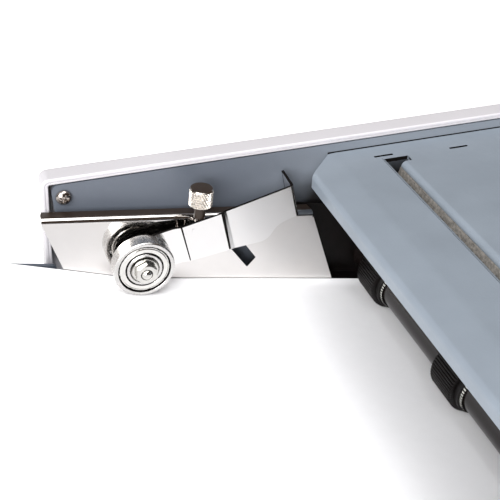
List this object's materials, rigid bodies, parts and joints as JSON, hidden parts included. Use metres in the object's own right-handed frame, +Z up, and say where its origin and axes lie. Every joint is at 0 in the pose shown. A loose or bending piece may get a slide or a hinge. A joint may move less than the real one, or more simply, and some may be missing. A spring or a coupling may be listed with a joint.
{
  "type": "desktop sheet feeder",
  "caption": "Feed end of a desktop paper machine: sloping table, mirror-steel side guide, ball-bearing hold-down wheel on a bent arm with thumb screw, slotted lid over fluted rollers.",
  "frame": {"origin": "on the ground under the middle of the outer bounding box", "axes": "+X is the direction the sheet travels, +Y points from the operator side to the far side guide, +Z is up"},
  "size_m": [0.4182, 0.291, 0.162],
  "materials": {
    "casing": "satin off-white moulding",
    "blue_grey": "satin blue-grey powder coat",
    "cover_grey": "satin pale blue-grey powder coat",
    "mirror_steel": "mirror-polished stainless spring steel",
    "turned_steel": "bright turned steel",
    "knurled_steel": "nickel-plated, knurled",
    "bearing_steel": "ground and polished bearing steel",
    "shield_steel": "pressed steel shield",
    "shaft_steel": "dark ground steel",
    "screw_steel": "zinc-plated",
    "zinc": "zinc-plated sheet",
    "rubber": "matt black",
    "black_plastic": "fine texture",
    "nylon": "natural nylon",
    "paper": "plain white"
  },
  "bodies": {
    "chassis": {"base_plate": "zinc", "power_inlet": "black_plastic", "side_panel_far": "blue_grey", "side_panel_near": "blue_grey", "panel_screw_front": "screw_steel", "panel_screw_rear": "screw_steel", "side_casing_far": "casing", "side_casing_near": "casing", "feed_table": "blue_grey", "paper_support": "blue_grey", "loaded_sheet": "paper", "front_apron": "blue_grey", "rear_panel": "blue_grey", "guide_plate": "mirror_steel", "guide_spacer_front": "zinc", "guide_spacer_rear": "zinc", "gear_motor": "zinc", "bearing_plate_far": "nylon", "bearing_plate_near": "nylon", "motor_bracket": "zinc", "hinge_pin_far": "turned_steel", "hinge_pin_near": "turned_steel", "foot_front_far": "rubber", "foot_front_near": "rubber", "foot_rear_far": "rubber", "foot_rear_near": "rubber"},
    "hold_down_arm": {"hold_down_arm": "mirror_steel", "pivot_collar": "turned_steel", "wheel_axle": "turned_steel", "axle_washer": "turned_steel", "axle_nut": "turned_steel", "bearing_inner_ring": "bearing_steel"},
    "hold_down_wheel": {"bearing_outer_ring": "bearing_steel", "bearing_shield_front": "shield_steel", "bearing_shield_back": "shield_steel"},
    "ball_cage": {"bearing_ball_cage": "shield_steel"},
    "screw_stud": {"thumb_screw_stud": "turned_steel"},
    "screw_knob": {"thumb_screw_knob": "knurled_steel"},
    "feed_shaft": {"feed_shaft": "shaft_steel", "feed_roller_1": "rubber", "feed_roller_2": "rubber", "feed_roller_3": "rubber", "feed_roller_4": "rubber", "roller_collar_1": "nylon", "roller_collar_2": "nylon", "roller_collar_3": "nylon", "roller_collar_4": "nylon", "feed_gear": "black_plastic"},
    "pressure_roller": {"pressure_roller": "rubber"},
    "idler": {"idler_gear": "nylon"},
    "transport_shaft": {"transport_roller": "rubber", "transport_gear": "black_plastic"},
    "transport_pressure_roller": {"transport_pressure_roller": "rubber"},
    "pinion": {"motor_pinion": "turned_steel"},
    "cover": {"top_cover": "cover_grey"},
    "near_guide": {"near_guide": "mirror_steel", "guide_clamp_nut": "turned_steel"},
    "clamp_knob": {"guide_clamp_knob": "black_plastic"},
    "rocker": {"power_rocker": "black_plastic"},
    "button": {"start_button": "black_plastic"}
  },
  "joints": [
    {"name": "arm_lift", "type": "hinge", "parent": "chassis", "child": "hold_down_arm", "pos_m": [0.01473, 0.1305, 0.10964], "axis": [0, 1, 0], "range_deg": [0, 15]},
    {"name": "wheel_spin", "type": "hinge", "parent": "hold_down_arm", "child": "hold_down_wheel", "pos_m": [-0.0231, 0.1215, 0.105], "axis": [0, 1, 0], "continuous": true},
    {"name": "cage_spin", "type": "hinge", "parent": "hold_down_arm", "child": "ball_cage", "pos_m": [-0.0231, 0.1215, 0.105], "axis": [0, 1, 0], "continuous": true},
    {"name": "stud_travel", "type": "slide", "parent": "hold_down_arm", "child": "screw_stud", "axis": [0.0872, 0, 0.9962], "range_m": [0, 0.003]},
    {"name": "knob_turn", "type": "hinge", "parent": "screw_stud", "child": "screw_knob", "pos_m": [-0.00071, 0.1266, 0.1177], "axis": [0.0872, 0, 0.9962], "range_deg": [0, 2165]},
    {"name": "feed_spin", "type": "hinge", "parent": "chassis", "child": "feed_shaft", "pos_m": [0.07299, 0.0195, 0.0838], "axis": [0, 1, 0], "continuous": true},
    {"name": "pressure_spin", "type": "hinge", "parent": "chassis", "child": "pressure_roller", "pos_m": [0.06803, 0.0195, 0.06144], "axis": [0, 1, 0], "continuous": true},
    {"name": "idler_spin", "type": "hinge", "parent": "chassis", "child": "idler", "pos_m": [0.09814, -0.1085, 0.07822], "axis": [0, 1, 0], "continuous": true},
    {"name": "transport_spin", "type": "hinge", "parent": "chassis", "child": "transport_shaft", "pos_m": [0.12329, 0.0195, 0.07265], "axis": [0, 1, 0], "continuous": true},
    {"name": "transport_pressure_spin", "type": "hinge", "parent": "chassis", "child": "transport_pressure_roller", "pos_m": [0.11834, 0.0195, 0.05029], "axis": [0, 1, 0], "continuous": true},
    {"name": "pinion_spin", "type": "hinge", "parent": "chassis", "child": "pinion", "pos_m": [0.09814, -0.1085, 0.05675], "axis": [0, 1, 0], "continuous": true},
    {"name": "cover_open", "type": "hinge", "parent": "chassis", "child": "cover", "pos_m": [0.1769, 0.0195, 0.119], "axis": [0, 1, 0], "range_deg": [0, 70]},
    {"name": "near_guide_slide", "type": "slide", "parent": "chassis", "child": "near_guide", "axis": [0, 1, 0], "range_m": [-0.006, 0]},
    {"name": "clamp_knob_turn", "type": "hinge", "parent": "near_guide", "child": "clamp_knob", "pos_m": [-0.00606, -0.087, 0.08944], "axis": [0.2164, 0, 0.9763], "range_deg": [0, 720]},
    {"name": "rocker_tilt", "type": "hinge", "parent": "chassis", "child": "rocker", "pos_m": [-0.0211, -0.1215, 0.1345], "axis": [0, 1, 0], "range_deg": [-6.7, 0]},
    {"name": "start_press", "type": "slide", "parent": "chassis", "child": "button", "axis": [0, 0, 1], "range_m": [-0.0015, 0], "stiffness_N_per_m": 400}
  ],
  "couplings": [
    {"joint": "cage_spin", "follows": "wheel_spin", "ratio": 0.6},
    {"joint": "knob_turn", "follows": "stud_travel", "rad_per_m": 12566},
    {"joint": "pressure_spin", "follows": "feed_spin", "ratio": -1},
    {"joint": "idler_spin", "follows": "feed_spin", "ratio": -0.8},
    {"joint": "transport_spin", "follows": "feed_spin", "ratio": 1},
    {"joint": "transport_pressure_spin", "follows": "feed_spin", "ratio": -1},
    {"joint": "pinion_spin", "follows": "feed_spin", "ratio": 1.6}
  ]
}
